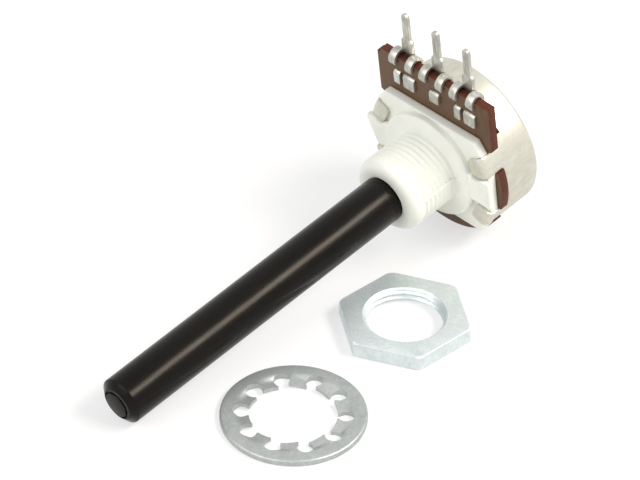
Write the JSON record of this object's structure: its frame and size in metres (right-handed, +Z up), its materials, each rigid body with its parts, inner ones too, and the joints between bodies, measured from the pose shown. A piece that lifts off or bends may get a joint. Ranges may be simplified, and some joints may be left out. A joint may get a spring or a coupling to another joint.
{
  "type": "rotary potentiometer",
  "caption": "Rotary potentiometer with a long plastic shaft, threaded bush, pins for a circuit board and a clawed metal can, with its panel nut and lock washer lying beside it.",
  "frame": {"origin": "centre of the bush's mounting face, on the shaft's axis", "axes": "-Y towards the shaft's tip as seen from above, +Z up away from the surface that the part lies on, +X to the right seen from the shaft's tip; the shaft's axis leans 7.89 degrees in the YZ plane, tip down"},
  "size_m": [0.0326, 0.0619, 0.0296],
  "materials": {
    "black_plastic": "satin turned and moulded black plastic",
    "white_plastic": "satin moulded white plastic",
    "phenolic_board": "brown laminated paper board with dark cut edges",
    "carbon_ink": "matt black printed layer",
    "silver_ink": "dull silver printed layer",
    "tinned_terminal": "tinned sheet, slightly uneven",
    "tinned_can": "tinned drawn steel with fine rolling marks",
    "grey_plastic": "matt moulded plastic",
    "spring_metal": "bright spring sheet",
    "bright_zinc": "bright bluish zinc plating",
    "dull_zinc": "dull grey zinc plating"
  },
  "bodies": {
    "base": {"housing": "white_plastic", "resistor_board": "phenolic_board", "carbon_track": "carbon_ink", "left_end_pad": "silver_ink", "right_end_pad": "silver_ink", "collector_ring": "silver_ink", "terminal_left": "tinned_terminal", "terminal_middle": "tinned_terminal", "terminal_right": "tinned_terminal", "rear_can": "tinned_can", "hex_nut": "bright_zinc", "lock_washer": "dull_zinc"},
    "rotor": {"shaft": "black_plastic", "rotor": "grey_plastic", "wiper": "spring_metal"}
  },
  "joints": [
    {"name": "shaft_turn", "type": "hinge", "parent": "base", "child": "rotor", "pos_m": [0, 0, 0], "axis": [0, -0.9905, -0.1373], "range_deg": [-150, 150]}
  ]
}
